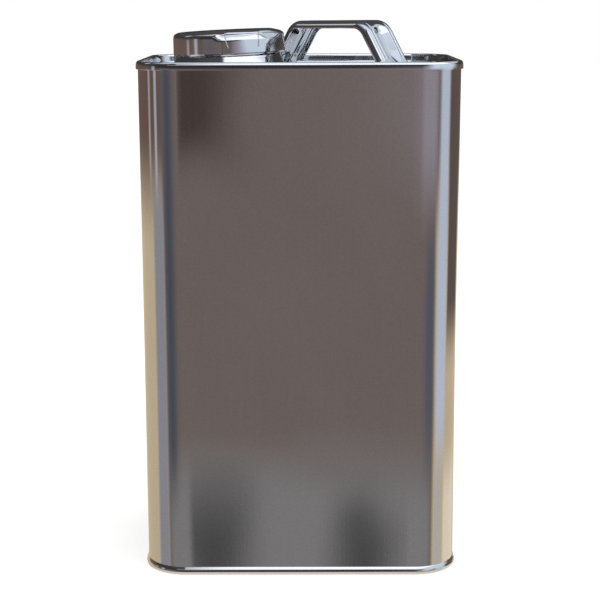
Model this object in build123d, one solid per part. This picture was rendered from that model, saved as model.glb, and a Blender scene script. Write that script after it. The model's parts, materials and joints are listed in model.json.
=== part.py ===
from build123d import *
import math
import os

# Oblong double-seamed tinplate oil can with a strap handle and a pull-up pouring spout
# under a crimped tinplate overcap. Millimetres, +Z up, +X to the right seen from the front,
# the front faces -Y. The origin is the bottom centre, on the surface the can stands on.

# Can body and its two ends
can_width = 168.0
can_depth = 118.0
can_height = 274.0
corner_radius = 22.0
body_sheet = 0.28
end_sheet = 0.30
countersink = 5.0

# Double seam: five layers of sheet folded together round each end
seam_height = 3.8
compound_gap = 0.08
seam_bend = 0.36
hook_relief = 0.25
chuck_bend = 1.2
panel_stub = 3.0
panel_lap = 1.0

# Stiffening step pressed into the bottom panel
step_inset = 10.0
step_run = 2.5
step_rise = 1.4
step_bend = 0.8

# Welded side seam on the back wall
side_weld_x = 46.0
side_weld_width = 0.9
side_weld_thickness = 0.42
side_weld_end_margin = 1.5

# Neck raised from the top panel, with its curled lip
closure_x = -38.5
closure_y = 0.0
neck_height = 9.5
neck_foot_bend = 1.4
curl_radius = 0.47

# Seal, plastic spout base and steel ring crimped over both
stack_gap = 0.05
gasket_thickness = 0.6
gasket_lap = 0.3
base_flange_thickness = 1.2
base_edge_round = 0.3
base_inner_lip = 2.1
base_plug_depth = 5.0
base_plug_wall = 1.2
base_plug_gap = 0.2
crimp_sheet = 0.30
crimp_lip_width = 3.6
crimp_bend = 0.4
crimp_neck_gap = 0.2

# Pull-up spout: an inverted cone of soft plastic carries the mouth
spout_travel = 26.0
bellows_fold_width = 6.0
bellows_wall = 0.6
bellows_gap = 0.1
bellows_ripple = 0.7
mouth_bore_radius = 12.4
mouth_wall = 1.6
mouth_flange_margin = 0.5
mouth_flange_thickness = 1.2
mouth_tube_height = 15.7

# Two-start thread between mouth and cap
thread_lead = 8.0
thread_starts = 2
thread_height = 1.0
thread_root_width = 1.5
thread_crest_width = 0.8
thread_root_sink = 0.3
thread_lip_margin = 1.5
mouth_thread_sweep = 250.0
cap_thread_sweep = 120.0
thread_step_angle = 20.0

# Screw cap and its liner
cap_wall = 1.2
cap_thread_room = 0.8
cap_top_thickness = 1.2
cap_skirt_depth = 9.8
cap_thread_crest_gap = 0.4
cap_thread_edge_margin = 1.2
cap_edge_round = 0.8
cap_flute_count = 40
cap_flute_radius = 0.45
liner_thickness = 0.6
liner_edge_gap = 0.3
lip_gap = 0.05

# Two pull bails hinged in ears on the cap
bail_bar = 1.4
bail_axis_offset = 1.3
bail_rest_gap = 0.3
bail_pin_radius = 0.45
bail_pin_gap = 0.06
bail_side_gap = 0.2
ear_width = 2.0
ear_wall = 0.85
ear_edge_margin = 0.7

# Tinplate overcap, which is torn off before the spout is pulled up
capseal_sheet = 0.25
capseal_lift_gap = 0.46
capseal_height = 13.2
capseal_floor_gap = 7.1
capseal_shoulder = 3.2
capseal_curl_width = 1.2
capseal_curl_height = 1.3
capseal_tilt = 2.5
score_width = 0.35
score_depth = 0.12
score_spacing = 8.0

# Tear tab folded flat on the back of the overcap
tab_width = 9.0
tab_height = 8.4
tab_thickness = 0.5
tab_gap = 0.3
tab_end_round = 3.0
tab_lower_margin = 1.2
tab_rib_width = 1.4
tab_rib_height = 0.5
tab_rib_margin = 2.0

# Rigid strap handle, set diagonally and spot welded to the top panel
handle_x = 21.2
handle_y = 0.0
handle_turn = 47.0
handle_height = 25.2
handle_half_top = 27.2
handle_leg_angle = 35.5
handle_width = 21.6
handle_sheet = 0.7
handle_corner_radius = 12.0
handle_foot_length = 8.5
handle_foot_bend = 1.6
handle_flange_depth = 3.9
handle_flange_foot_gap = 2.0
channel_width = 13.0
channel_floor_width = 6.4
channel_depth = 2.0
channel_foot_margin = 5.5
channel_top_margin = 0.6

# Spot welds through the feet
weld_radius = 2.0
weld_dimple = 0.12
weld_spacing = 10.0

# Overrun of cutting shapes past what they cut
overrun = 1.0

# Layers of the seam, as offsets outwards from the body's outer face
wall_line = -body_sheet / 2
chuck_line = -(body_sheet + compound_gap + end_sheet / 2)
end_hook_line = compound_gap + end_sheet / 2
body_hook_line = end_hook_line + end_sheet / 2 + compound_gap + body_sheet / 2
seam_wall_line = body_hook_line + body_sheet / 2 + compound_gap + end_sheet / 2
flange_depth = end_sheet + compound_gap + body_sheet / 2
seam_base_depth = seam_height - end_sheet / 2
body_hook_tip_depth = seam_height - end_sheet - body_sheet / 2 - hook_relief
end_hook_tip_depth = flange_depth + body_sheet / 2 + compound_gap + hook_relief + end_sheet / 2

# Radii of the closure, from the mouth's bore outwards to the overcap
mouth_outer_radius = mouth_bore_radius + mouth_wall
cap_bore_radius = mouth_outer_radius + thread_height + cap_thread_room
cap_outer_radius = cap_bore_radius + cap_wall
mouth_flange_radius = cap_outer_radius + mouth_flange_margin
base_bore_radius = mouth_flange_radius + bellows_fold_width
base_plug_radius = base_bore_radius + base_inner_lip + base_plug_wall
neck_outer_radius = base_plug_radius + base_plug_gap + end_sheet
base_flange_radius = neck_outer_radius + 2 * curl_radius
crimp_outer_radius = base_flange_radius + stack_gap + crimp_sheet
capseal_outer_radius = crimp_outer_radius + capseal_lift_gap + capseal_curl_width
bail_radius = cap_outer_radius - cap_edge_round - ear_edge_margin - ear_width - bail_side_gap - bail_bar / 2

# Heights of the closure's stack, from the top panel upwards
panel_top = can_height - countersink
curl_centre_z = panel_top + neck_height
curl_top_z = curl_centre_z + curl_radius + end_sheet / 2
curl_bottom_z = curl_centre_z - curl_radius - end_sheet / 2
gasket_bottom_z = curl_top_z + stack_gap
base_flange_bottom_z = gasket_bottom_z + gasket_thickness + stack_gap
base_flange_top_z = base_flange_bottom_z + base_flange_thickness
crimp_top_z = base_flange_top_z + stack_gap + crimp_sheet
crimp_bottom_z = curl_bottom_z - stack_gap - crimp_sheet

# The inverted cone reaches half the spout's travel below the base flange
bellows_top_z = base_flange_bottom_z + base_flange_thickness / 2
mouth_flange_top_z = bellows_top_z - spout_travel / 2
mouth_flange_bottom_z = mouth_flange_top_z - mouth_flange_thickness
lip_z = mouth_flange_top_z + mouth_tube_height
liner_bottom_z = lip_z + lip_gap
liner_top_z = liner_bottom_z + liner_thickness
cap_ceiling_z = liner_top_z + lip_gap
cap_top_z = cap_ceiling_z + cap_top_thickness
cap_skirt_bottom_z = lip_z - cap_skirt_depth
bail_axis_z = cap_top_z + bail_rest_gap + bail_bar / 2

# Overcap and its tilt about the middle of the crimped ring
capseal_bottom_z = panel_top + capseal_floor_gap
capseal_top_z = capseal_bottom_z + capseal_height
capseal_pivot_z = (crimp_top_z + crimp_bottom_z) / 2
tab_hinge_y = closure_y + capseal_outer_radius + tab_gap + tab_thickness / 2
tab_hinge_z = capseal_bottom_z + tab_lower_margin


def sheet_section(points, bends, sheet):
    """Closed section of a sheet whose middle line follows the bent polyline."""
    line = FilletPolyline(*points, radius=bends)
    return make_face(line.offset_2d(sheet / 2, side=Side.BOTH).edges())


def can_outline():
    """Outline of the body's outer face on the ground plane."""
    return RectangleRounded(can_width, can_depth, corner_radius).wire()


def round_the_can(section):
    """Carry a section, drawn as offset outwards against height, once round the can."""
    path = can_outline()
    start = path @ 0
    along = path % 0
    outward = along.cross(Vector(0, 0, 1))
    if outward.dot(start) < 0:
        outward = -outward
    plane = Plane(origin=start, x_dir=outward, z_dir=outward.cross(Vector(0, 0, 1)))
    return sweep(plane * section, path=path)


def ring(outer_radius, inner_radius, bottom, top):
    """Plain ring on the closure's axis, in the closure's own frame."""
    return disc(outer_radius, bottom, top) - disc(inner_radius, bottom, top)


def disc(radius, bottom, top):
    """Plain disc on the closure's axis, in the closure's own frame."""
    return Pos(0, 0, bottom) * extrude(Circle(radius), top - bottom)


def turned(section):
    """Revolve a section, drawn as radius against height, round the vertical axis."""
    return revolve(Plane.XZ * section, axis=Axis.Z)


def at_closure(shape):
    """Move a piece from the closure's own frame to its place on the can."""
    return Pos(closure_x, closure_y, 0) * shape


def tilted_overcap(shape):
    """Tilt the overcap's pieces as one about the crimped ring, right side up."""
    down = Pos(0, 0, -capseal_pivot_z) * shape
    return Pos(0, 0, capseal_pivot_z) * Rot(0, -capseal_tilt, 0) * down


def end_rim_points(inner_points):
    """Middle line of an end's rim: chuck wall, seaming panel, seaming wall and end hook."""
    top = can_height
    return inner_points + [
        (chuck_line, top - end_sheet / 2),
        (seam_wall_line, top - end_sheet / 2),
        (seam_wall_line, top - seam_base_depth),
        (end_hook_line, top - seam_base_depth),
        (end_hook_line, top - end_hook_tip_depth),
    ]


def panel_plate(inset, bottom, thickness):
    """Flat plate whose edge lies the given distance inside the body's outer face."""
    outline = RectangleRounded(can_width - 2 * inset, can_depth - 2 * inset, corner_radius - inset)
    return Pos(0, 0, bottom) * extrude(outline, thickness)


def can_body():
    """Body wall with its flange and hook folded into each seam, less the side weld's slit."""
    points = [
        (body_hook_line, body_hook_tip_depth),
        (body_hook_line, flange_depth),
        (wall_line, flange_depth),
        (wall_line, can_height - flange_depth),
        (body_hook_line, can_height - flange_depth),
        (body_hook_line, can_height - body_hook_tip_depth),
    ]
    wall = round_the_can(sheet_section(points, seam_bend, body_sheet))
    slit = Box(side_weld_width, body_sheet + 2 * overrun, side_weld_length())
    return wall - Pos(side_weld_x, can_depth / 2 - body_sheet / 2, can_height / 2) * slit


def side_weld_length():
    """The weld runs between the seams, clear of both."""
    return can_height - 2 * (seam_height + side_weld_end_margin)


def side_weld():
    """Welded lap of the side seam, slightly thicker than the sheet."""
    bar = Box(side_weld_width, side_weld_thickness, side_weld_length())
    return Pos(side_weld_x, can_depth / 2 - body_sheet / 2, can_height / 2) * bar


def neck_section():
    """Neck wall rising from the panel and curling outwards at its lip."""
    line_radius = neck_outer_radius - end_sheet / 2
    panel_line = panel_top - end_sheet / 2
    wall = FilletPolyline(
        (line_radius + neck_foot_bend + panel_stub, panel_line),
        (line_radius, panel_line),
        (line_radius, curl_centre_z),
        radius=neck_foot_bend,
    )
    curl = CenterArc((line_radius + curl_radius, curl_centre_z), curl_radius, 180, -270)
    line = Wire(wall.edges() + curl.edges())
    return make_face(line.offset_2d(end_sheet / 2, side=Side.BOTH).edges())


def top_end():
    """Top end: rim folded into the seam, countersunk panel and the raised neck."""
    panel_line = panel_top - end_sheet / 2
    points = end_rim_points([(chuck_line - panel_stub, panel_line), (chuck_line, panel_line)])
    bends = [chuck_bend] + [seam_bend] * (len(points) - 3)
    rim = round_the_can(sheet_section(points, bends, end_sheet))
    plate = panel_plate(panel_stub - panel_lap - chuck_line, panel_top - end_sheet, end_sheet)
    hole_radius = neck_outer_radius + neck_foot_bend + panel_stub - panel_lap
    hole = Pos(0, 0, panel_top - end_sheet / 2) * Cylinder(hole_radius, end_sheet + 2 * overrun)
    return rim + (plate - at_closure(hole)) + at_closure(turned(neck_section()))


def bottom_end():
    """Bottom end: the same rim turned over, with a stiffening step in its panel."""
    panel_line = panel_top - end_sheet / 2
    step_line = panel_line - step_rise
    inner_edge = chuck_line - step_inset - step_run - panel_stub
    points = end_rim_points([
        (inner_edge, step_line),
        (chuck_line - step_inset - step_run, step_line),
        (chuck_line - step_inset, panel_line),
        (chuck_line, panel_line),
    ])
    bends = [step_bend, step_bend, chuck_bend] + [seam_bend] * (len(points) - 5)
    rim = round_the_can(sheet_section(points, bends, end_sheet))
    plate = panel_plate(-inner_edge - panel_lap, step_line - end_sheet / 2, end_sheet)
    turned_over = (rim + plate).mirror(Plane.XY)
    return Pos(0, 0, can_height) * turned_over


def seam_compound(at_top):
    """Bead of sealing compound in the pocket between body flange and end hook."""
    pocket_top = flange_depth + body_sheet / 2 + compound_gap
    pocket_bottom = end_hook_tip_depth - end_sheet / 2 - compound_gap / 2
    inner = end_hook_line
    outer = body_hook_line - body_sheet / 2 - compound_gap
    bead = Polygon((inner, pocket_top), (outer, pocket_top), (outer, pocket_bottom), (inner, pocket_bottom),
                   align=None)
    low = round_the_can(bead)
    if at_top:
        return Pos(0, 0, can_height) * low.mirror(Plane.XY)
    return low


def neck_gasket():
    """Flat seal between the neck's curl and the spout base."""
    inner = neck_outer_radius - gasket_lap
    return at_closure(ring(base_flange_radius, inner, gasket_bottom_z, gasket_bottom_z + gasket_thickness))


def spout_base():
    """Plastic base ring: a flange over the seal and a plug that fits the neck's bore."""
    flange = disc(base_flange_radius, base_flange_bottom_z, base_flange_top_z)
    flange = fillet(flange.edges().group_by(Axis.Z)[-1], base_edge_round)
    flange -= disc(base_bore_radius, base_flange_bottom_z, base_flange_top_z)
    plug_bottom_z = base_flange_bottom_z - base_plug_depth
    plug = ring(base_plug_radius, base_plug_radius - base_plug_wall, plug_bottom_z, base_flange_bottom_z)
    return at_closure(flange + plug)


def spout_crimp_ring():
    """Steel ring crimped over the base flange and under the neck's curl."""
    line_radius = crimp_outer_radius - crimp_sheet / 2
    points = [
        (crimp_outer_radius - crimp_lip_width, crimp_top_z - crimp_sheet / 2),
        (line_radius, crimp_top_z - crimp_sheet / 2),
        (line_radius, crimp_bottom_z + crimp_sheet / 2),
        (neck_outer_radius + crimp_neck_gap + crimp_sheet / 2, crimp_bottom_z + crimp_sheet / 2),
    ]
    return at_closure(turned(sheet_section(points, crimp_bend, crimp_sheet)))


def spout_bellows():
    """Soft cone, stored turned inwards, that joins the base ring to the mouth."""
    outer = base_bore_radius - bellows_wall / 2 - bellows_gap
    inner = mouth_outer_radius + (mouth_flange_radius - mouth_outer_radius) / 2
    top = bellows_top_z
    bottom = mouth_flange_top_z + bellows_wall / 2 + bellows_gap
    third = (top - bottom) / 3
    middle = (outer + mouth_flange_radius) / 2
    points = [
        (outer, top),
        (outer - bellows_ripple, top - third),
        (middle + bellows_ripple, top - third),
        (middle - bellows_ripple, bottom + third),
        (mouth_flange_radius + bellows_ripple, bottom + third),
        (mouth_flange_radius, bottom),
        (inner, bottom),
    ]
    return at_closure(turned(sheet_section(points, bellows_ripple / 2, bellows_wall)))


def thread_ridge(root_radius, crest_radius, start_z, start_angle, sweep_angle):
    """One helical thread ridge, as straight facets from section to section."""
    steps = math.ceil(sweep_angle / thread_step_angle)
    profile = Polygon(
        (root_radius, -thread_root_width / 2),
        (crest_radius, -thread_crest_width / 2),
        (crest_radius, thread_crest_width / 2),
        (root_radius, thread_root_width / 2),
        align=None,
    )
    sections = []
    for step in range(steps + 1):
        turned_by = sweep_angle * step / steps
        angle = math.radians(start_angle + turned_by)
        outward = (math.cos(angle), math.sin(angle), 0)
        across = (math.sin(angle), -math.cos(angle), 0)
        height = start_z + thread_lead * turned_by / 360
        sections.append(Plane(origin=(0, 0, height), x_dir=outward, z_dir=across) * profile)
    return loft(sections, ruled=True)


def mouth_thread_start():
    """Height at which the mouth's thread begins, so that it ends just below the lip."""
    return lip_z - thread_lip_margin - thread_root_width / 2 - thread_lead * mouth_thread_sweep / 360


def spout_mouth():
    """Pouring mouth: flange, tube and the outside thread."""
    flange = ring(mouth_flange_radius, mouth_bore_radius, mouth_flange_bottom_z, mouth_flange_top_z)
    mouth = flange + ring(mouth_outer_radius, mouth_bore_radius, mouth_flange_bottom_z, lip_z)
    for start in range(thread_starts):
        mouth += thread_ridge(
            mouth_outer_radius - thread_root_sink,
            mouth_outer_radius + thread_height,
            mouth_thread_start(),
            360 * start / thread_starts,
            mouth_thread_sweep,
        )
    return at_closure(mouth)


def cap_ear(side):
    """Ear on the cap's top with the bores of both bails' pins."""
    inner_x = bail_radius + bail_bar / 2 + bail_side_gap
    half_y = bail_axis_offset + bail_pin_radius + bail_pin_gap + ear_wall
    top = bail_axis_z + bail_pin_radius + bail_pin_gap + ear_wall / 2
    block = Box(ear_width, 2 * half_y, top - cap_ceiling_z)
    ear = Pos(side * (inner_x + ear_width / 2), 0, (top + cap_ceiling_z) / 2) * block
    for row in (-1, 1):
        bore = Rot(0, 90, 0) * Cylinder(bail_pin_radius + bail_pin_gap, ear_width + 2 * overrun)
        ear -= Pos(side * (inner_x + ear_width / 2), row * bail_axis_offset, bail_axis_z) * bore
    return ear


def screw_cap():
    """Fluted screw cap with inside thread and two ears for the bails."""
    blank = disc(cap_outer_radius, cap_skirt_bottom_z, cap_top_z)
    blank = fillet(blank.edges().group_by(Axis.Z)[-1], cap_edge_round)
    cap = blank - disc(cap_bore_radius, cap_skirt_bottom_z - overrun, cap_ceiling_z)
    groove_bottom_z = cap_skirt_bottom_z - overrun
    groove = Pos(0, 0, groove_bottom_z) * extrude(
        Circle(cap_flute_radius), cap_top_z - 2 * cap_edge_round - groove_bottom_z
    )
    for flute in range(cap_flute_count):
        turn = Rot(0, 0, 360 * flute / cap_flute_count)
        cap -= turn * Pos(cap_outer_radius + cap_flute_radius / 2, 0, 0) * groove
    crest = mouth_outer_radius + cap_thread_crest_gap
    start_z = cap_skirt_bottom_z + cap_thread_edge_margin
    half_pitch = thread_lead / thread_starts / 2
    phase = 360 / thread_lead * (start_z - mouth_thread_start() - half_pitch)
    for start in range(thread_starts):
        start_angle = phase + 360 * start / thread_starts
        cap += thread_ridge(cap_bore_radius + thread_root_sink, crest, start_z, start_angle, cap_thread_sweep)
    cap = cap + cap_ear(-1) + cap_ear(1)
    return at_closure(cap)


def cap_liner():
    """Foam liner that the cap turns on and presses on the lip."""
    return at_closure(disc(cap_bore_radius - liner_edge_gap, liner_bottom_z, liner_top_z))


def bail(row):
    """Half-ring pull bail lying flat on the cap, with a pin at each end."""
    arch = Circle(bail_radius + bail_bar / 2) - Circle(bail_radius - bail_bar / 2)
    half_plane = Pos(0, row * 2 * bail_radius) * Rectangle(4 * bail_radius, 4 * bail_radius)
    arch = Pos(0, 0, -bail_bar / 2) * extrude(arch & half_plane, bail_bar)
    pin_length = bail_side_gap + ear_width
    for side in (-1, 1):
        knuckle = Rot(0, 90, 0) * Cylinder(bail_bar / 2, bail_bar)
        pin = Rot(0, 90, 0) * Cylinder(bail_pin_radius, pin_length)
        arch += Pos(side * bail_radius, 0, 0) * knuckle
        arch += Pos(side * (bail_radius + bail_bar / 2 + pin_length / 2), 0, 0) * pin
    return at_closure(Pos(0, row * bail_axis_offset, bail_axis_z) * arch)


def capseal():
    """Tinplate overcap: rounded shoulder, plain skirt and an edge rolled inwards."""
    line_radius = capseal_outer_radius - capseal_sheet / 2
    top_line = capseal_top_z - capseal_sheet / 2
    bottom_line = capseal_bottom_z + capseal_sheet / 2
    inner_line = capseal_outer_radius - capseal_curl_width + capseal_sheet / 2
    roll = (capseal_curl_width - capseal_sheet) / 2 - capseal_sheet / 4
    skirt_points = [
        (line_radius - 2 * capseal_shoulder, top_line),
        (line_radius, top_line),
        (line_radius, bottom_line),
        (inner_line, bottom_line),
        (inner_line, capseal_bottom_z + capseal_curl_height),
    ]
    bends = [capseal_shoulder, roll, roll]
    skirt = turned(sheet_section(skirt_points, bends, capseal_sheet))
    lid = disc(line_radius - capseal_shoulder - capseal_sheet, capseal_top_z - capseal_sheet, capseal_top_z)
    seal = skirt + lid
    score_bottom = capseal_bottom_z + capseal_curl_height
    score_top = capseal_top_z - capseal_shoulder
    for side in (0, 1):
        groove = Box(score_width, 2 * score_depth, score_top - score_bottom)
        turn = math.degrees(score_spacing / capseal_outer_radius) * side
        seal -= Rot(0, 0, turn) * Pos(0, -capseal_outer_radius, (score_top + score_bottom) / 2) * groove
    return at_closure(tilted_overcap(seal))


def tear_tab():
    """Tab folded up against the back of the overcap's skirt, with a round fold and a rib."""
    blank = Box(tab_width, tab_thickness, tab_height)
    blank = fillet(blank.edges().filter_by(Axis.Y).group_by(Axis.Z)[-1], tab_end_round)
    rib = Box(tab_width - 2 * tab_rib_margin - tab_rib_width, tab_rib_height, tab_rib_width)
    bend = Rot(0, 90, 0) * Cylinder(tab_thickness / 2, tab_width)
    tab = blank + Pos(0, 0, -tab_height / 2) * bend + Pos(0, (tab_thickness + tab_rib_height) / 2, 0) * rib
    centre_y = tab_hinge_y - closure_y
    return at_closure(tilted_overcap(Pos(0, centre_y, tab_hinge_z + tab_height / 2) * tab))


def handle_slope():
    """Outward run of a leg for each unit of fall."""
    return math.tan(math.radians(handle_leg_angle))


def handle_lines():
    """Middle-line places of the handle: foot height, top height and the legs' half span."""
    foot_z = panel_top + handle_sheet / 2
    top_z = panel_top + handle_height - handle_sheet / 2
    half_base = handle_half_top + (top_z - foot_z) * handle_slope()
    return foot_z, top_z, half_base


def handle_web():
    """Strap bent to feet, legs and top bar."""
    foot_z, top_z, half_base = handle_lines()
    points = [
        (-half_base - handle_foot_length, foot_z),
        (-half_base, foot_z),
        (-handle_half_top, top_z),
        (handle_half_top, top_z),
        (half_base, foot_z),
        (half_base + handle_foot_length, foot_z),
    ]
    bends = [handle_foot_bend, handle_corner_radius, handle_corner_radius, handle_foot_bend]
    section = Plane.XZ * sheet_section(points, bends, handle_sheet)
    return extrude(section, handle_width / 2, both=True)


def handle_arch(inset, radius):
    """Filled arch under the strap's outer face, set in by the given depth."""
    foot_z, top_z, half_base = handle_lines()
    side_inset = inset / math.cos(math.radians(handle_leg_angle)) - inset * handle_slope()
    half_top = handle_half_top - side_inset
    drop = top_z - inset - foot_z
    arch = Polygon(
        (-half_top - drop * handle_slope(), foot_z),
        (-half_top, top_z - inset),
        (half_top, top_z - inset),
        (half_top + drop * handle_slope(), foot_z),
        align=None,
    )
    return fillet(arch.vertices().group_by(Axis.Y)[-1], radius)


def handle_flanges():
    """Down-turned edges along the legs and the top bar, ending above the feet."""
    foot_z, top_z, half_base = handle_lines()
    band = handle_arch(0.0, handle_corner_radius)
    band -= handle_arch(handle_flange_depth, handle_corner_radius - handle_flange_depth)
    floor = Pos(0, foot_z) * Rectangle(4 * half_base, 2 * handle_flange_foot_gap)
    band -= floor
    flanges = []
    for side in (-1, 1):
        sheet = extrude(Plane.XZ * band, handle_sheet / 2, both=True)
        flanges.append(Pos(0, side * (handle_width / 2 - handle_sheet / 2), 0) * sheet)
    return flanges


def leg_channel(side):
    """Pocket and tray of the channel that is pressed into the outside of one leg."""
    foot_z, top_z, half_base = handle_lines()
    angle = math.radians(handle_leg_angle)
    leg_length = (top_z - foot_z) / math.cos(angle)
    bend_run = handle_corner_radius * math.tan((math.pi / 2 - angle) / 2)
    low = channel_foot_margin
    high = leg_length - bend_run - channel_top_margin
    middle = (low + high) / 2
    centre = (side * (half_base - middle * math.sin(angle)), 0, foot_z + middle * math.cos(angle))
    outward = (side * math.cos(angle), 0, math.sin(angle))
    upward = (-side * math.sin(angle), 0, math.cos(angle))
    plane = Plane(origin=centre, x_dir=upward, z_dir=outward)
    mouth = SlotOverall(high - low, channel_width)
    floor = SlotOverall(high - low - channel_width + channel_floor_width, channel_floor_width)
    skin = handle_sheet / 2
    pocket = loft([plane.offset(skin) * mouth, plane.offset(skin - channel_depth) * floor], ruled=True)
    tray = loft([plane.offset(-skin) * mouth, plane.offset(-skin - channel_depth) * floor], ruled=True)
    return pocket, tray


def at_handle(shape):
    """Turn a piece from the handle's own frame to its diagonal place on the panel."""
    return Pos(handle_x, handle_y, 0) * Rot(0, 0, -handle_turn) * shape


def handle_strap():
    """Pressed strap handle: web, flanges and leg channels in one sheet."""
    strap = handle_web()
    for flange in handle_flanges():
        strap += flange
    for side in (-1, 1):
        pocket, tray = leg_channel(side)
        strap = strap + tray - pocket
    return at_handle(strap)


def handle_spot_welds():
    """Two welded spots on each foot."""
    foot_z, top_z, half_base = handle_lines()
    reach = half_base + handle_foot_bend + (handle_foot_length - handle_foot_bend) / 2
    spots = []
    for side in (-1, 1):
        for row in (-1, 1):
            spot = extrude(Circle(weld_radius), weld_dimple)
            place = Pos(side * reach, row * weld_spacing / 2, foot_z + handle_sheet / 2)
            spots.append(at_handle(place * spot))
    return spots


def write(name, shape):
    """Write one node, as one solid or as a group of separate solids."""
    solids = shape if isinstance(shape, list) else shape.solids()
    body = solids[0] if len(solids) == 1 else Compound(children=list(solids))
    body.label = name
    export_step(body, os.path.join("parts", name + ".step"))


def main():
    os.makedirs("parts", exist_ok=True)
    write("can_body", can_body())
    write("side_weld", side_weld())
    write("top_end", top_end())
    write("bottom_end", bottom_end())
    write("top_seam_compound", seam_compound(True))
    write("bottom_seam_compound", seam_compound(False))
    write("neck_gasket", neck_gasket())
    write("spout_base", spout_base())
    write("spout_crimp_ring", spout_crimp_ring())
    write("spout_bellows", spout_bellows())
    write("spout_mouth", spout_mouth())
    write("screw_cap", screw_cap())
    write("cap_liner", cap_liner())
    write("front_pull_bail", bail(-1))
    write("rear_pull_bail", bail(1))
    write("capseal", capseal())
    write("tear_tab", tear_tab())
    write("handle_strap", handle_strap())
    write("handle_spot_welds", handle_spot_welds())


main()
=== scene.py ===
"""Oblong tinplate oil can: double-seamed ends, strap handle and a pull-up spout under its overcap."""

import math

import bmesh
import bpy
from mathutils import Matrix, Vector
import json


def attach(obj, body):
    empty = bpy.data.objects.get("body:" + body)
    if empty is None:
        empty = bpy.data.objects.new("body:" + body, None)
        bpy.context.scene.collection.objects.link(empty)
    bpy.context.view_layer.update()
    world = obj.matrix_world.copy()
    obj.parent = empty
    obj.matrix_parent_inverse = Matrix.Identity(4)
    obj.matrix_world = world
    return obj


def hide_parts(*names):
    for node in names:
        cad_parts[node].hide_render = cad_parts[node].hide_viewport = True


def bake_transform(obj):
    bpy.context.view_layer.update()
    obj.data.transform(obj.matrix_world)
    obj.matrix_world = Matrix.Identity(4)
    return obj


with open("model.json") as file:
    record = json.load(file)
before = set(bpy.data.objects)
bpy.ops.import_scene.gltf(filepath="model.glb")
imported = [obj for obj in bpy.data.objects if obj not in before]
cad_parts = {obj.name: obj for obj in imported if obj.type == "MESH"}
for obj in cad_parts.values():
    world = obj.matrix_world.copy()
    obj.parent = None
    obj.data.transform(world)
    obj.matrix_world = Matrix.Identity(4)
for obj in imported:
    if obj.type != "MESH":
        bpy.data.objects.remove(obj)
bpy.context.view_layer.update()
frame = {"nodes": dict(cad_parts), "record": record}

mm = 0.001

# Sizes of the can in millimetres, the same as the construction's
can_half_width = 84.0
can_half_depth = 59.0
corner_radius = 22.0
can_height = 274.0
seam_proud = 1.12
panel_z = 269.0
closure_centre = Vector((-38.5, 0.0, 0.0)) * mm
corner_steps = 16


class Signal:
    """A socket of a shader, on which Python's operators work."""

    def __init__(self, recipe, socket):
        self.recipe = recipe
        self.socket = socket

    def other(self, name):
        return Signal(self.recipe, self.socket.node.outputs[name])

    def maths(self, operation, first, second):
        settings = {"operation": operation}
        return self.recipe.node("ShaderNodeMath", settings, {0: first, 1: second})

    def __add__(self, value):
        return self.maths("ADD", self, value)

    def __radd__(self, value):
        return self.maths("ADD", value, self)

    def __sub__(self, value):
        return self.maths("SUBTRACT", self, value)

    def __rsub__(self, value):
        return self.maths("SUBTRACT", value, self)

    def __mul__(self, value):
        return self.maths("MULTIPLY", self, value)

    def __rmul__(self, value):
        return self.maths("MULTIPLY", value, self)

    def __truediv__(self, value):
        return self.maths("DIVIDE", self, value)

    def __pow__(self, value):
        return self.maths("POWER", self, value)


class Recipe:
    """The nodes of a material or of the world."""

    def __init__(self, owner):
        self.owner = owner
        owner.use_nodes = True
        self.tree = owner.node_tree

    def feed(self, socket, value):
        if isinstance(value, Signal):
            self.tree.links.new(value.socket, socket)
        else:
            socket.default_value = value

    def node(self, kind, settings=None, sockets=None, output=0):
        """Add one node: its settings first, then the values or links of its sockets."""
        made = self.tree.nodes.new(kind)
        for name, value in (settings or {}).items():
            if name == "stops":
                self.set_stops(made.color_ramp, value)
            else:
                setattr(made, name, value)
        for name, value in (sockets or {}).items():
            self.feed(made.inputs[name], value)
        return Signal(self, made.outputs[output])

    def set_stops(self, ramp, stops):
        while len(ramp.elements) < len(stops):
            ramp.elements.new(1.0)
        for element, (place, colour) in zip(ramp.elements, stops):
            element.position = place
            element.color = colour

    def place(self, scale=(1.0, 1.0, 1.0), shift=(0.0, 0.0, 0.0)):
        """Object coordinates, stretched and moved."""
        coordinates = self.node("ShaderNodeTexCoord", output="Object")
        return self.node("ShaderNodeMapping", None, {"Vector": coordinates, "Scale": scale, "Location": shift})

    def noise(self, scale, stretch=(1.0, 1.0, 1.0), detail=3.0, roughness=0.5, shift=(0.0, 0.0, 0.0)):
        """Noise from 0 to 1, with its scale in grains per metre."""
        place = self.place(stretch, shift)
        sockets = {"Vector": place, "Scale": scale, "Detail": detail, "Roughness": roughness}
        return self.node("ShaderNodeTexNoise", None, sockets, "Fac")

    def span(self, value, low, high, new_low=0.0, new_high=1.0):
        """A value taken from one range to another, without going past its ends."""
        sockets = {"Value": value, "From Min": low, "From Max": high, "To Min": new_low, "To Max": new_high}
        return self.node("ShaderNodeMapRange", {"interpolation_type": "SMOOTHSTEP"}, sockets)

    def seen(self):
        """1 for what the camera, a reflection or a clear material sees, 0 for the light on the object."""
        rays = self.node("ShaderNodeLightPath", output="Is Camera Ray")
        mirrored = rays.maths("MAXIMUM", rays, rays.other("Is Glossy Ray"))
        return rays.maths("MAXIMUM", mirrored, rays.other("Is Transmission Ray"))

    def mix(self, factor, first, second):
        """One colour into another."""
        settings = {"data_type": "RGBA"}
        return self.node("ShaderNodeMix", settings, {0: factor, 6: first, 7: second}, 2)


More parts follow.
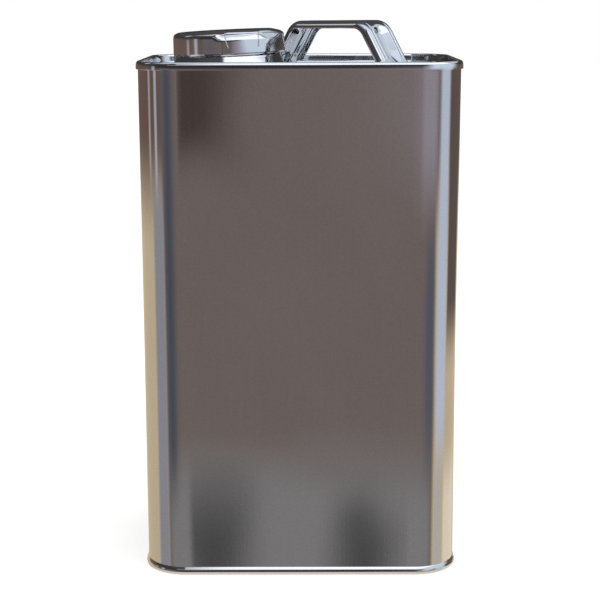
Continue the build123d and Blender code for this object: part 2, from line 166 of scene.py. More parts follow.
def metal(name, dark, light, roughness, streak, speckle, relief):
    """Tinplate: rolling streaks, crystal speckle, handling smudges and a faint relief."""
    recipe = Recipe(bpy.data.materials.new(name))
    shader = recipe.tree.nodes["Principled BSDF"]
    streaks = recipe.noise(1.0, (900.0, 900.0, 14.0), 4.0, 0.6)
    grain = recipe.noise(1500.0, detail=2.0, roughness=0.7)
    smudges = recipe.noise(22.0, (1.0, 1.0, 0.6), 5.0, 0.55)
    tone = (streaks - 0.5) * streak + (grain - 0.5) * speckle + (smudges - 0.5) * 0.35 + 0.5
    colour = recipe.mix(recipe.span(tone, 0.0, 1.0), dark, light)
    rough = roughness + (smudges - 0.5) * 0.04 + (streaks - 0.5) * 0.03
    height = streaks * 0.4 + grain * 0.6
    bump = recipe.node("ShaderNodeBump", None, {"Strength": relief, "Distance": 0.00005, "Height": height})
    recipe.feed(shader.inputs["Base Color"], colour)
    recipe.feed(shader.inputs["Roughness"], rough)
    recipe.feed(shader.inputs["Normal"], bump)
    shader.inputs["Metallic"].default_value = 1.0
    return recipe.owner


def moulded(name, colour, roughness, grain_size, relief, coat=0.0, through=0.0):
    """Moulded plastic or rubber: a faint mottle, a fine moulded grain and a little shine."""
    recipe = Recipe(bpy.data.materials.new(name))
    shader = recipe.tree.nodes["Principled BSDF"]
    mottle = recipe.noise(60.0, detail=4.0)
    grain = recipe.noise(grain_size, detail=2.0)
    darker = (colour[0] * 0.93, colour[1] * 0.93, colour[2] * 0.92, 1.0)
    recipe.feed(shader.inputs["Base Color"], recipe.mix(recipe.span(mottle, 0.3, 0.7), darker, colour))
    recipe.feed(shader.inputs["Roughness"], roughness + (mottle - 0.5) * 0.15)
    bump = recipe.node("ShaderNodeBump", None, {"Strength": relief, "Distance": 0.0001, "Height": grain})
    recipe.feed(shader.inputs["Normal"], bump)
    shader.inputs["Coat Weight"].default_value = coat
    shader.inputs["Subsurface Weight"].default_value = through
    shader.inputs["Subsurface Scale"].default_value = 0.002
    return recipe.owner


body_tinplate = metal(
    "rolled_tinplate", (0.58, 0.56, 0.55, 1.0), (0.74, 0.72, 0.71, 1.0), 0.05, 0.18, 0.9, 0.12
)
end_tinplate = metal(
    "end_tinplate", (0.64, 0.64, 0.65, 1.0), (0.80, 0.80, 0.81, 1.0), 0.09, 0.1, 0.5, 0.06
)
cap_tinplate = metal(
    "drawn_tinplate", (0.62, 0.62, 0.64, 1.0), (0.78, 0.78, 0.80, 1.0), 0.1, 0.2, 0.4, 0.06
)


def score(owner, spots):
    """Cut fine upright lines into a finish, each given by its x and its lean, on the front above a height."""
    recipe = Recipe(owner)
    shader = recipe.tree.nodes["Principled BSDF"]
    place = recipe.node("ShaderNodeSeparateXYZ", None, {0: recipe.node("ShaderNodeTexCoord", output="Object")})
    across, depth, height = place, place.other("Y"), place.other("Z")
    lines = 0.0
    for x, lean in spots:
        gap = across - x - (height - 0.284) * lean
        lines = recipe.span(gap.maths("ABSOLUTE", gap, 0.0), 0.0003, 0.00005) + lines
    lines = lines * recipe.span(depth, -0.01, -0.02) * recipe.span(height, 0.2795, 0.281)
    sockets = {"Strength": 0.8, "Distance": 0.0002, "Height": lines}
    cut = recipe.node("ShaderNodeBump", {"invert": True}, sockets)
    recipe.tree.links.new(shader.inputs["Normal"].links[0].from_socket, cut.socket.node.inputs["Normal"])
    recipe.feed(shader.inputs["Normal"], cut)


score(cap_tinplate, [(-0.0385, -0.35), (-0.0215, 0.0)])
handle_tinplate = metal(
    "pressed_tinplate", (0.66, 0.67, 0.70, 1.0), (0.80, 0.81, 0.84, 1.0), 0.08, 0.06, 0.25, 0.04
)
finishes = {
    "tinplate_body": body_tinplate,
    "tinplate_end": end_tinplate,
    "tinplate_cap": cap_tinplate,
    "handle_steel": handle_tinplate,
    "sealing_compound": moulded("seam_compound", (0.16, 0.15, 0.14, 1.0), 0.6, 900.0, 0.3),
    "gasket_rubber": moulded("neck_rubber", (0.12, 0.12, 0.12, 1.0), 0.65, 1200.0, 0.3),
    "white_polyethylene": moulded("white_plastic", (0.86, 0.86, 0.84, 1.0), 0.38, 1600.0, 0.15, 0.1, 0.1),
    "soft_polyethylene": moulded("soft_plastic", (0.88, 0.88, 0.86, 1.0), 0.45, 900.0, 0.2, 0.0, 0.2),
    "liner_foam": moulded("foam_liner", (0.80, 0.81, 0.82, 1.0), 0.7, 2500.0, 0.6),
}


def dress(piece, slot):
    """Give a piece its finish as its only material."""
    piece.data.materials.clear()
    piece.data.materials.append(finishes[slot])


for part in frame["record"]["subparts"]:
    dress(frame["nodes"][part["node"]], part["material_slot"])


def begin(piece):
    """Open one piece for editing with nothing else selected."""
    bpy.ops.object.select_all(action="DESELECT")
    piece.select_set(True)
    bpy.context.view_layer.objects.active = piece
    bpy.ops.object.mode_set(mode="EDIT")


def pick(piece, kind, test):
    """Select the faces, edges or vertices that pass a test of their place."""
    bpy.ops.mesh.select_mode(type=kind)
    bpy.ops.mesh.select_all(action="DESELECT")
    mesh = bmesh.from_edit_mesh(piece.data)
    chosen = {"VERT": mesh.verts, "EDGE": mesh.edges, "FACE": mesh.faces}[kind]
    for element in chosen:
        if test(element):
            element.select_set(True)
    bmesh.update_edit_mesh(piece.data)


def fresh(name):
    """Name the primitive that was just added and put its place into its mesh."""
    piece = bpy.context.object
    piece.name = name
    piece.data.name = name
    bpy.ops.object.transform_apply(location=True, rotation=True, scale=True)
    return piece


def settle(piece, body, slot, replaced=None, angle=35.0):
    """Leave edit mode, smooth the shading, give the finish and let the piece ride."""
    bpy.ops.object.mode_set(mode="OBJECT")
    bpy.ops.object.shade_smooth_by_angle(angle=math.radians(angle))
    dress(piece, slot)
    if replaced:
        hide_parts(replaced)
    if body:
        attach(piece, body)


def apply_modifiers(piece):
    for modifier in list(piece.modifiers):
        bpy.ops.object.modifier_apply(modifier=modifier.name)


def upright(edge):
    """An edge that runs straight up."""
    along = edge.verts[1].co - edge.verts[0].co
    return abs(along.z) > 0.9 * along.length


def rounded_block(name, proud, low, high):
    """A block with the can's rounded corners, standing proud of the body by a distance."""
    bpy.ops.object.select_all(action="DESELECT")
    bpy.ops.mesh.primitive_cube_add(size=2.0, location=(0.0, 0.0, (low + high) / 2 * mm))
    block = bpy.context.object
    block.scale = ((can_half_width + proud) * mm, (can_half_depth + proud) * mm, (high - low) / 2 * mm)
    block = fresh(name)
    begin(block)
    pick(block, "EDGE", upright)
    bpy.ops.mesh.bevel(offset=(corner_radius + proud) * mm, segments=corner_steps, affect="EDGES")
    return block


def follow(profile, way):
    """Shape the selected end face through rings given as inward distance and height."""
    for (inward, height), (next_inward, next_height) in zip(profile, profile[1:]):
        rise = (next_height - height) * way * mm
        bpy.ops.mesh.inset(thickness=(next_inward - inward) * mm, depth=rise, use_even_offset=True)


def turn_under(piece, profile):
    """Carry the open edge of a seam on through rings of inward distance and height."""
    start = profile[0][1] * mm
    pick(piece, "EDGE", lambda e: e.is_boundary and abs(e.verts[0].co.z - start) < 0.01 * mm)
    for (inward, height), (next_inward, next_height) in zip(profile, profile[1:]):
        fall = (next_height - height) * mm
        bpy.ops.mesh.extrude_region_move(TRANSFORM_OT_translate={"value": (0.0, 0.0, fall)})
        bpy.ops.transform.shrink_fatten(value=(inward - next_inward) * mm)


# The body: one rolled sheet between the seams, very slightly uneven
body = rounded_block("can_wall", 0.0, 2.6, can_height - 2.6)
pick(body, "FACE", lambda f: abs(f.normal.z) > 0.9)
bpy.ops.mesh.delete(type="FACE")
pick(body, "EDGE", upright)
bpy.ops.mesh.subdivide(number_cuts=44)
pick(body, "EDGE", lambda e: e.calc_length() > 30 * mm)
bpy.ops.mesh.subdivide(number_cuts=24)
bpy.ops.object.mode_set(mode="OBJECT")
flats = body.vertex_groups.new(name="flats")
for vertex in body.data.vertices:
    from_seam = min(vertex.co.z, can_height * mm - vertex.co.z) / (30 * mm)
    across = (can_half_width - 4) * mm - abs(vertex.co.x)
    beside = (can_half_depth - 4) * mm - abs(vertex.co.y)
    from_corner = max(across, beside) / (30 * mm)
    flats.add([vertex.index], max(0.0, min(1.0, from_seam)) * max(0.15, min(1.0, from_corner)), "REPLACE")
    slack = math.sin(math.pi * vertex.co.z / (can_height * mm)) ** 2 * min(1.0, abs(vertex.co.x) / (60 * mm))
    vertex.co.x -= (0.4 * mm if vertex.co.x > 0 else -0.15 * mm) * slack
unevenness = bpy.data.textures.new("sheet_unevenness", "CLOUDS")
unevenness.noise_scale = 0.07
unevenness.noise_depth = 1
waves = body.modifiers.new("waves", "DISPLACE")
waves.texture = unevenness
waves.texture_coords = "LOCAL"
waves.strength = 0.35 * mm
waves.mid_level = 0.5
waves.vertex_group = "flats"
sheet = body.modifiers.new("sheet", "SOLIDIFY")
sheet.thickness = 0.28 * mm
sheet.offset = -1.0
apply_modifiers(body)
settle(body, "can", "tinplate_body", "can_body")

# The ends: each starts as the seam's outer face and is carried over the rim into the countersink
rim = [
    (0.0, 3.9),
    (0.054, 2.9),
    (0.105, 2.0),
    (0.138, 1.65),
    (0.175, 1.37),
    (0.23, 1.17),
    (0.3, 0.93),
    (0.39, 0.74),
    (0.5, 0.54),
    (0.63, 0.35),
    (0.77, 0.18),
    (0.92, 0.05),
    (1.08, 0.0),
]
low_rim = [
    (0.0, 1.7),
    (0.07, 1.25),
    (0.14, 0.8),
    (0.2, 0.45),
    (0.32, 0.2),
    (0.52, 0.07),
    (0.78, 0.01),
    (1.08, 0.0),
]
countersink = [
    (1.08, 0.0),
    (1.26, 0.06),
    (1.43, 0.21),
    (1.58, 0.46),
    (1.70, 0.78),
    (1.79, 1.15),
    (1.84, 1.55),
    (1.95, 2.5),
    (2.10, 3.7),
    (2.18, 4.25),
    (2.30, 4.62),
    (2.52, 4.86),
    (2.90, 4.96),
    (3.8, 5.0),
]
tight_lip = [(0.0, 3.95), (0.03, 4.1), (0.3, 4.17), (0.7, 4.19), (1.08, 4.2)]
soft_lip = [
    (0.0, 1.75),
    (0.03, 1.85),
    (0.13, 2.15),
    (0.23, 2.45),
    (0.33, 2.75),
    (0.47, 3.02),
    (0.63, 3.32),
    (0.79, 3.62),
    (0.96, 3.92),
    (1.14, 4.2),
]


def end_rim(name, way, edge, lip):
    """Outer face, rounded edge and countersink of one end; way is 1 for the top end."""
    from_edge = sorted(can_height / 2 + way * (can_height / 2 - depth) for depth in (edge[0][1], lip[0][1]))
    piece = rounded_block(name, seam_proud, from_edge[0], from_edge[1])
    pick(piece, "FACE", lambda f: f.normal.z * way < -0.9)
    bpy.ops.mesh.delete(type="FACE")
    pick(piece, "FACE", lambda f: f.normal.z * way > 0.9)
    follow(edge + countersink[1:], -1)
    return piece


top = end_rim("top_end_sheet", 1, rim, tight_lip)
bpy.ops.mesh.delete(type="ONLY_FACE")
neck = [
    (31.35, 269.0),
    (30.85, 269.2),
    (30.5, 269.7),
    (30.2, 270.4),
    (29.85, 271.5),
    (29.5, 272.7),
    (29.15, 273.9),
    (28.85, 275.0),
    (28.6, 276.0),
    (28.35, 276.7),
    (28.0, 277.2),
    (27.5, 277.5),
    (27.3, 277.7),
    (27.3, 277.95),
    (27.62, 277.88),
    (28.0, 278.02),
    (28.21, 278.36),
    (28.21, 278.7),
    (27.98, 279.0),
    (27.62, 279.12),
    (27.26, 279.0),
    (27.03, 278.6),
    (27.0, 270.4),
    (27.1, 269.4),
    (27.9, 268.75),
]
bpy.ops.mesh.primitive_circle_add(
    vertices=4 * (corner_steps + 1),
    radius=neck[0][0] * mm,
    location=(closure_centre.x, 0.0, panel_z * mm),
    rotation=(0.0, 0.0, math.pi / 4 / (corner_steps + 1)),
)
pick(
    top,
    "EDGE",
    lambda e: len(e.link_faces) < 2 and all(abs(v.co.z - panel_z * mm) < 0.02 * mm for v in e.verts),
)
bpy.ops.mesh.bridge_edge_loops()


def on_neck_foot(vertex):
    return abs((vertex.co - closure_centre).xy.length - neck[0][0] * mm) < 0.05 * mm


pick(top, "EDGE", lambda e: e.is_boundary and all(on_neck_foot(v) for v in e.verts))
for (radius, height), (next_radius, next_height) in zip(neck, neck[1:]):
    rise = (next_height - height) * mm
    growth = next_radius / radius
    bpy.ops.mesh.extrude_region_move(TRANSFORM_OT_translate={"value": (0.0, 0.0, rise)})
    bpy.ops.transform.resize(value=(growth, growth, 1.0), center_override=closure_centre)
turn_under(top, [(inward, can_height - depth) for inward, depth in tight_lip])
settle(top, "can", "tinplate_end", "top_end")

bottom = end_rim("bottom_end_sheet", -1, low_rim, soft_lip)
follow([(3.8, 5.0), (11.6, 5.0), (12.1, 5.12), (13.4, 6.2), (13.9, 6.38), (14.6, 6.4)], -1)
turn_under(bottom, soft_lip)
settle(bottom, "can", "tinplate_end", "bottom_end")


# The handle: a strip with pressed channels and turned edges, formed along its path
handle_centre = Vector((21.2, 0.0, 0.0))
handle_turn = math.radians(-47.0)
handle_half_width = 10.5
handle_sheet = 0.7
handle_foot_z = panel_z + handle_sheet / 2
handle_top_z = panel_z + 25.2 - handle_sheet / 2
handle_half_top = 27.9
leg_angle = math.radians(35.5)
handle_half_base = handle_half_top + (handle_top_z - handle_foot_z) * math.tan(leg_angle)
foot_length = 8.5
flange_depth = 3.9
channel_depth = 2.0
edge_bend = 3.2


def rounded_path(corners, radii):
    """Pieces of a path with rounded corners: straight runs and arcs, as (length, place at a distance)."""
    runs = []
    start = Vector(corners[0])
    for before, corner, after, radius in zip(corners, corners[1:], corners[2:], radii):
        before, corner, after = Vector(before), Vector(corner), Vector(after)
        into = (corner - before).normalized()
        out = (after - corner).normalized()
        bend = into.angle(out)
        reach = radius * math.tan(bend / 2)
        end = corner - into * reach
        side = 1.0 if into.x * out.y - into.y * out.x > 0 else -1.0
        runs.append(("straight", (end - start).length, start, into, 0.0, 0.0))
        runs.append(("arc", radius * bend, end, into, radius, side))
        start = corner + out * reach
    last = Vector(corners[-1])
    runs.append(("straight", (last - start).length, start, (last - start).normalized(), 0.0, 0.0))
    return runs


def along_path(runs, distance):
    """Place and direction at a distance along a rounded path."""
    for kind, length, start, heading, radius, side in runs:
        if distance <= length or (kind, length) == (runs[-1][0], runs[-1][1]) and start == runs[-1][2]:
            if kind == "straight":
                return start + heading * distance, heading
            turned = distance / radius
            normal = Vector((-heading.y, heading.x)) * side
            place = start + heading * radius * math.sin(turned) + normal * radius * (1 - math.cos(turned))
            return place, heading * math.cos(turned) + normal * math.sin(turned)
        distance -= length
    return start, heading


handle_runs = rounded_path(
    [
        (-handle_half_base - foot_length, handle_foot_z),
        (-handle_half_base, handle_foot_z),
        (-handle_half_top, handle_top_z),
        (handle_half_top, handle_top_z),
        (handle_half_base, handle_foot_z),
        (handle_half_base + foot_length, handle_foot_z),
    ],
    [1.6, 12.0, 12.0, 1.6],
)
handle_length = sum(run[1] for run in handle_runs)


def smooth_step(value, low, high):
    share = max(0.0, min(1.0, (value - low) / (high - low)))
    return share * share * (3 - 2 * share)


def pressed_depth(distance, across):
    """How deep a leg's channel and grooves are, by the distance from the foot's end and across."""
    first, last = foot_length + 11.9, foot_length + 22.5
    beyond = max((first - distance) * 0.4, distance - last, 0.0)
    flank = (math.hypot(across, beyond) - 1.5) / 3.8
    bowed = 0.08 * (1 - (across / 1.9) ** 2) if flank < 0 else 0.0
    groove = 0.8 * math.exp(-(((abs(across) - 6.4) / 0.42) ** 2))
    groove *= smooth_step(distance, foot_length + 4.0, foot_length + 9.0)
    groove *= 1 - smooth_step(distance, foot_length + 27.0, foot_length + 38.0)
    return channel_depth * (1 - max(0.0, min(1.0, flank))) + bowed + groove


def strip_section(across, depth):
    """Across-place and drop of a point of the strip's section, with its edges turned down."""
    bend = edge_bend
    flat = handle_half_width - handle_sheet / 2 - bend
    side = 1.0 if across > 0 else -1.0
    over = abs(across) - flat
    if over <= 0:
        return across, 0.0
    arc = bend * math.pi / 2
    if over <= arc:
        angle = over / bend
        return side * (flat + bend * math.sin(angle)), bend * (1 - math.cos(angle)) * min(1.0, depth)
    return side * (flat + bend), bend * min(1.0, depth) + (over - arc) * depth


bpy.ops.object.select_all(action="DESELECT")
bpy.ops.mesh.primitive_grid_add(x_subdivisions=230, y_subdivisions=120, size=1.0)
strap = fresh("strap_handle")
flat_half_width = handle_half_width - handle_sheet / 2 - edge_bend
developed = flat_half_width + edge_bend * math.pi / 2 + flange_depth - edge_bend
for vertex in strap.data.vertices:
    distance = (vertex.co.x + 0.5) * handle_length
    across = vertex.co.y * 2 * developed
    from_end = min(distance, handle_length - distance)
    depth = smooth_step(from_end, foot_length + 1.2, foot_length + 6.5)
    place, heading = along_path(handle_runs, distance)
    sideways, drop = strip_section(across, depth)
    if depth <= 0.0:
        sideways = max(-handle_half_width + 0.35, min(handle_half_width - 0.35, sideways))
    out = Vector((-heading.y, heading.x))
    spot = place - out * (drop + pressed_depth(from_end, across))
    sag = 0.024 * (spot.y - panel_z) * smooth_step(-spot.x, -handle_half_top, handle_half_top)
    vertex.co = Vector((spot.x, sideways, spot.y - sag))
turning = Matrix.Translation(handle_centre) @ Matrix.Rotation(handle_turn, 4, "Z")
strap.data.transform(Matrix.Scale(mm, 4) @ turning)
begin(strap)
bpy.ops.mesh.select_all(action="SELECT")
bpy.ops.mesh.remove_doubles(threshold=0.01 * mm)
bpy.ops.mesh.normals_make_consistent(inside=False)
bpy.ops.object.mode_set(mode="OBJECT")
gauge = strap.modifiers.new("gauge", "SOLIDIFY")
gauge.thickness = handle_sheet * mm
gauge.offset = 0.0
apply_modifiers(strap)
settle(strap, "can", "handle_steel", "handle_strap")

# The overcap: a drawn shell spun round the closure's axis, its edge rolled inwards
cap_radius = 30.42
cap_foot = 276.1
cap_top = 288.8
shell = [
    (0.0, cap_top - 0.75),
    (10.0, cap_top - 0.75),
    (22.2, cap_top - 0.7),
    (24.0, cap_top - 0.55),
    (25.2, cap_top - 0.28),
    (26.1, cap_top - 0.05),
    (26.8, cap_top),
    (27.4, cap_top - 0.08),
    (28.0, cap_top - 0.35),
    (28.45, cap_top - 0.72),
    (28.75, cap_top - 1.1),
    (28.86, cap_top - 1.32),
    (28.85, cap_top - 1.6),
    (28.82, cap_top - 1.9),
    (28.87, cap_top - 2.05),
    (29.0, cap_top - 2.22),
    (29.25, cap_top - 2.6),
    (29.52, cap_top - 3.05),
    (29.77, cap_top - 3.55),
    (29.97, cap_top - 3.95),
    (30.12, cap_top - 4.35),
    (30.2, cap_top - 4.75),
    (30.22, cap_top - 5.3),
    (30.31, cap_top - 8.6),
    (cap_radius - 0.02, cap_foot + 1.6),
    (cap_radius, cap_foot + 1.0),
    (cap_radius - 0.06, cap_foot + 0.55),
    (cap_radius - 0.22, cap_foot + 0.2),
    (cap_radius - 0.6, cap_foot),
    (cap_radius - 1.0, cap_foot + 0.2),
    (cap_radius - 1.2, cap_foot + 0.6),
    (cap_radius - 1.2, cap_foot + 1.3),
]


def spun(name, profile, steps, centre):
    """A profile of radius and height, drawn as a line of edges and spun round an upright axis."""
    bpy.ops.object.select_all(action="DESELECT")
    bpy.ops.mesh.primitive_plane_add(size=1.0)
    piece = fresh(name)
    begin(piece)
    pick(piece, "VERT", lambda v: v.index > 0)
    bpy.ops.mesh.delete(type="VERT")
    bpy.ops.mesh.select_all(action="SELECT")
    start = Vector((profile[0][0] * mm, 0.0, profile[0][1] * mm)) + centre
    mesh = bmesh.from_edit_mesh(piece.data)
    mesh.verts.ensure_lookup_table()
    bpy.ops.transform.translate(value=start - mesh.verts[0].co)
    for (radius, height), (next_radius, next_height) in zip(profile, profile[1:]):
        move = ((next_radius - radius) * mm, 0.0, (next_height - height) * mm)
        bpy.ops.mesh.extrude_region_move(TRANSFORM_OT_translate={"value": move})
    bpy.ops.mesh.select_all(action="SELECT")
    bpy.ops.mesh.spin(steps=steps, angle=2 * math.pi, center=centre, axis=(0.0, 0.0, 1.0))
    bpy.ops.mesh.select_all(action="SELECT")
    bpy.ops.mesh.remove_doubles(threshold=0.005 * mm)
    bpy.ops.mesh.normals_make_consistent(inside=False)
    return piece


overcap = spun("overcap_shell", shell, 128, closure_centre)
bpy.ops.object.mode_set(mode="OBJECT")
for vertex in overcap.data.vertices:
    arm = vertex.co - closure_centre
    radius = arm.xy.length / mm
    height = arm.z / mm
    bearing = math.degrees(math.atan2(arm.x, -arm.y))
    near_edge = smooth_step(radius, 21.0, 27.0)
    raised = smooth_step(bearing, -4.0, 1.0) * (1 - smooth_step(bearing, 75.0, 120.0))
    arm.z += (0.22 * raised - 0.18) * near_edge * smooth_step(height, 286.0, 288.8) * mm
    notch = math.exp(-((bearing + 4.5) / 3.2) ** 2) * near_edge * smooth_step(height, 285.5, 288.5)
    arm.z -= 0.55 * notch * mm
    pull = math.exp(-((bearing + 1.0) / 1.3) ** 2) * (1 - smooth_step(height, 286.8, 288.6))
    uneven = 0.10 * math.sin(math.radians(3 * bearing + 40)) + 0.07 * math.sin(math.radians(7 * bearing))
    plain = 1 - smooth_step(bearing, -12.0, -2.0) * (1 - smooth_step(bearing, 50.0, 85.0))
    swell = 30.2 - 2.9 * math.exp((height - cap_top) / 0.85) - radius
    swell = max(0.0, swell) * plain * smooth_step(radius, 26.8, 28.0) * smooth_step(height, 277.0, 281.0)
    arm.z -= 0.9 * smooth_step(arm.x / mm, 22.0, 28.5) * smooth_step(height, 285.5, 288.0) * mm
    lean = smooth_step(bearing, 12.0, 35.0) * (1 - 0.75 * smooth_step(bearing, 55.0, 90.0)) * near_edge
    lean *= 0.095 * max(0.0, min(6.6, height - 278.0))
    shrink = 1 - (0.28 * pull + max(0.0, uneven) * near_edge + lean - swell) / max(radius, 1.0)
    arm.x *= shrink
    arm.y *= shrink
    vertex.co = closure_centre + arm
cap_tilt_forward = math.radians(0.4)
cap_tilt_sideways = math.radians(-2.5)
cap_shift = 0.3
cap_pivot_z = 279.45
pivot = Matrix.Translation(closure_centre + Vector((cap_shift * mm, 0.0, cap_pivot_z * mm)))
crooked = Matrix.Rotation(cap_tilt_forward, 4, "X") @ Matrix.Rotation(cap_tilt_sideways, 4, "Y")
unpivot = Matrix.Translation(-closure_centre - Vector((0.0, 0.0, cap_pivot_z * mm)))
overcap.data.transform(pivot @ crooked @ unpivot)
wall = overcap.modifiers.new("wall", "SOLIDIFY")
wall.thickness = 0.25 * mm
wall.offset = -1.0
apply_modifiers(overcap)
settle(overcap, "overcap", "tinplate_cap", "capseal")

# The spout's soft cone, which turns inside out when the spout is pulled up
cone_profile = [
    (23.1, 280.45),
    (22.95, 279.2),
    (22.6, 277.6),
    (21.9, 276.2),
    (21.3, 275.0),
    (20.9, 273.6),
    (20.2, 272.3),
    (19.5, 271.1),
    (19.0, 269.8),
    (18.2, 268.8),
    (17.0, 267.85),
    (15.8, 267.8),
]
cone = spun("spout_cone", cone_profile, 96, closure_centre)
bpy.ops.object.mode_set(mode="OBJECT")
skin = cone.modifiers.new("skin", "SOLIDIFY")
skin.thickness = 0.55 * mm
skin.offset = 0.0
apply_modifiers(cone)
settle(cone, None, "soft_polyethylene", "spout_bellows")
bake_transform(cone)

# The floor: a wide pale board, which keeps the can's shadow
bpy.ops.object.select_all(action="DESELECT")
bpy.ops.mesh.primitive_plane_add(size=12.0)
board = fresh("floor_board")
floor_finish = Recipe(bpy.data.materials.new("pale_board"))
floor_shader = floor_finish.tree.nodes["Principled BSDF"]
floor_mottle = floor_finish.noise(40.0)
floor_finish.feed(
    floor_shader.inputs["Base Color"],
    floor_finish.mix(floor_mottle, (0.90, 0.90, 0.90, 1.0), (0.93, 0.93, 0.93, 1.0)),
)
floor_shader.inputs["Roughness"].default_value = 0.9
floor_shader.inputs["Specular IOR Level"].default_value = 0.1
floor_shader.inputs["Emission Color"].default_value = (1.0, 1.0, 1.0, 1.0)
floor_finish.feed(floor_shader.inputs["Emission Strength"], floor_finish.seen() * 0.52)
board.data.materials.append(floor_finish.owner)
board.visible_glossy = False


# The studio's wall, which only reflections see: a warm dim room with a few plain soft cards
bpy.ops.object.select_all(action="DESELECT")
bpy.ops.mesh.primitive_cylinder_add(
    vertices=96, radius=1.5, depth=5.4, end_fill_type="NGON", location=(0.0, 0.0, 0.2)
)
surround = fresh("studio_wall")
wall_finish = Recipe(bpy.data.materials.new("studio_cards"))
wall_coordinates = wall_finish.node("ShaderNodeTexCoord", output="Object")
wall_place = wall_finish.node("ShaderNodeSeparateXYZ", None, {0: wall_coordinates})
wall_x, wall_y, wall_z = wall_place, wall_place.other("Y"), wall_place.other("Z")
bearing = wall_place.maths("ARCTAN2", wall_x, 0.0 - wall_y) * (180 / math.pi)
room_low = wall_finish.mix(
    wall_finish.span(wall_z, -0.08, 0.12), (0.68, 0.57, 0.40, 1.0), (0.17, 0.12, 0.10, 1.0)
)
wall_colour = wall_finish.mix(wall_finish.span(wall_z, 0.2, 0.5), room_low, (0.05, 0.05, 0.05, 1.0))

# Each card: its left and right side and their soft edge in degrees from the front,
# its foot and head and their soft edge in metres, its tone
cards = [
    ("front drape", -58, 58, 12, -2.0, 0.45, 0.12, (0.205, 0.172, 0.163)),
    ("front floor sheet", -54, 54, 20, -2.0, -0.32, 0.16, (0.27, 0.27, 0.28)),
    ("upper right sheet", 0, 62, 20, -0.06, 0.50, 0.18, (0.36, 0.33, 0.39)),
    ("left flag", -60, -12, 24, -0.50, 0.34, 0.16, (0.09, 0.10, 0.13)),
    ("left cool sheet", -88, -46, 11, -2.0, 0.08, 0.10, (0.33, 0.34, 0.38)),
    ("left window", -75, -63, 5, 0.0, 0.40, 0.06, (0.50, 0.54, 0.63)),
    ("left door edge", -95, -84, 5, 0.0, 0.30, 0.08, (0.50, 0.44, 0.47)),
    ("camera", -12, -2, 4, 0.02, 0.34, 0.10, (0.08, 0.06, 0.055)),
    ("left tripod leg", -8.6, -1.8, 3.2, -0.8, -0.36, 0.16, (0.09, 0.09, 0.095)),
    ("right tripod leg", 0.4, 6.8, 3.1, -0.8, -0.38, 0.16, (0.09, 0.09, 0.095)),
    ("right flag", 18, 62, 20, -0.46, 0.04, 0.18, (0.12, 0.13, 0.17)),
    ("right soft box", 54, 97, 13, -0.42, 1.10, 0.12, (0.62, 0.70, 0.86)),
    ("right floor sheet", 55, 82, 8, -2.0, -0.36, 0.08, (0.58, 0.58, 0.57)),
    ("warm wall", 84, 150, 10, -2.0, -0.34, 0.12, (0.95, 0.87, 0.70)),
    ("dark doorway", 90, 150, 8, -0.26, 0.27, 0.12, (0.14, 0.11, 0.10)),
    ("black flag", -66, 16, 12, 0.31, 0.62, 0.06, (0.03, 0.03, 0.033)),
    ("grey shelf", -34, 6, 6, 0.60, 0.90, 0.06, (0.33, 0.37, 0.43)),
    ("right screen", 14, 116, 28, 0.22, 1.0, 0.14, (0.72, 0.83, 0.95)),
    ("lamp strip", -109, -94, 5, 0.80, 1.6, 0.12, (0.5, 0.5, 0.5)),
    ("left loft", -100, -30, 8, 1.6, 2.5, 0.15, (0.33, 0.33, 0.35)),
    ("overhead soft box", -14, 94, 8, 0.84, 2.5, 0.10, (0.92, 0.95, 1.0)),
    ("right loft", 90, 142, 10, 0.84, 2.5, 0.10, (0.46, 0.52, 0.57)),
]
for name, left, right, side_edge, foot, head, level_edge, tone in cards:
    across = wall_finish.span(bearing, left, left + side_edge)
    across = across * wall_finish.span(bearing, right, right - side_edge)
    upward = wall_finish.span(wall_z, foot, foot + level_edge)
    upward = upward * wall_finish.span(wall_z, head, head - level_edge)
    wall_colour = wall_finish.mix(across * upward, wall_colour, (*tone, 1.0))
    wall_colour.socket.node.label = name
ceiling_colour = wall_finish.mix(
    wall_finish.span(wall_y, -0.35, 0.15), (0.55, 0.63, 0.72, 1.0), (0.07, 0.07, 0.08, 1.0)
)
wall_colour = wall_finish.mix(wall_finish.span(wall_z, 2.4, 2.6), wall_colour, ceiling_colour)
under = wall_finish.span(wall_z, -0.75, -1.1)
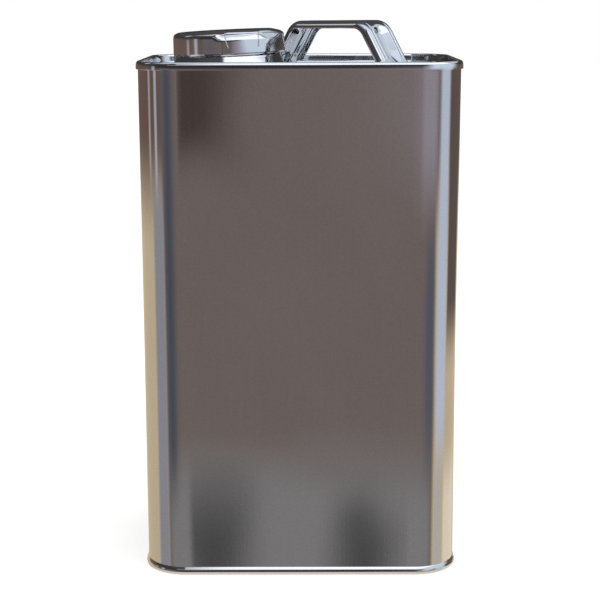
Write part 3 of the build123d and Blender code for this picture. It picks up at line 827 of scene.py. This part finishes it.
wall_colour = wall_finish.mix(under, wall_colour, (0.85, 0.78, 0.66, 1.0))
wall_strength = wall_finish.span(wall_z, 0.82, 0.97) * 0.5 + 1.0
wall_light = wall_finish.node("ShaderNodeEmission", None, {"Color": wall_colour, "Strength": wall_strength})
wall_finish.feed(wall_finish.tree.nodes["Material Output"].inputs["Surface"], wall_light)
surround.data.materials.append(wall_finish.owner)
surround.visible_camera = False
surround.visible_diffuse = False
surround.visible_shadow = False

# The light: a white room and one soft lamp overhead
room = Recipe(bpy.data.worlds.new("white_room"))
bpy.context.scene.world = room.owner
background = room.tree.nodes["Background"]
background.inputs["Color"].default_value = (1.0, 1.0, 1.0, 1.0)
room.feed(background.inputs["Strength"], room.seen() * 0.4 + 0.6)
bpy.ops.object.light_add(type="AREA", location=(0.1, -0.25, 1.5))
lamp = bpy.context.object
lamp.name = "soft_lamp"
lamp.data.shape = "RECTANGLE"
lamp.data.size = 1.0
lamp.data.size_y = 0.8
lamp.data.energy = 4.0
lamp.visible_glossy = False
lamp.rotation_euler = (Vector((0.0, 0.0, 0.15)) - lamp.location).to_track_quat("-Z", "Y").to_euler()

# The camera of the photograph
yaw, pitch, roll = -0.002061, 0.200117, 0.002136
forward = Vector((math.sin(yaw) * math.cos(pitch), math.cos(yaw) * math.cos(pitch), -math.sin(pitch)))
level_right = Vector((math.cos(yaw), -math.sin(yaw), 0.0))
level_down = forward.cross(level_right)
right = math.cos(roll) * level_right + math.sin(roll) * level_down
down = -math.sin(roll) * level_right + math.cos(roll) * level_down
camera_data = bpy.data.cameras.new("camera")
camera_data.sensor_width = 36.0
camera_data.lens = 89.45
camera_data.clip_start = 0.01
camera = bpy.data.objects.new("camera", camera_data)
bpy.context.scene.collection.objects.link(camera)
camera.matrix_world = Matrix(
    (
        (right.x, -down.x, -forward.x, 0.00161),
        (right.y, -down.y, -forward.y, -0.82047),
        (right.z, -down.z, -forward.z, 0.305926),
        (0.0, 0.0, 0.0, 1.0),
    )
)
bpy.context.scene.camera = camera
bpy.context.scene.view_settings.view_transform = "Standard"
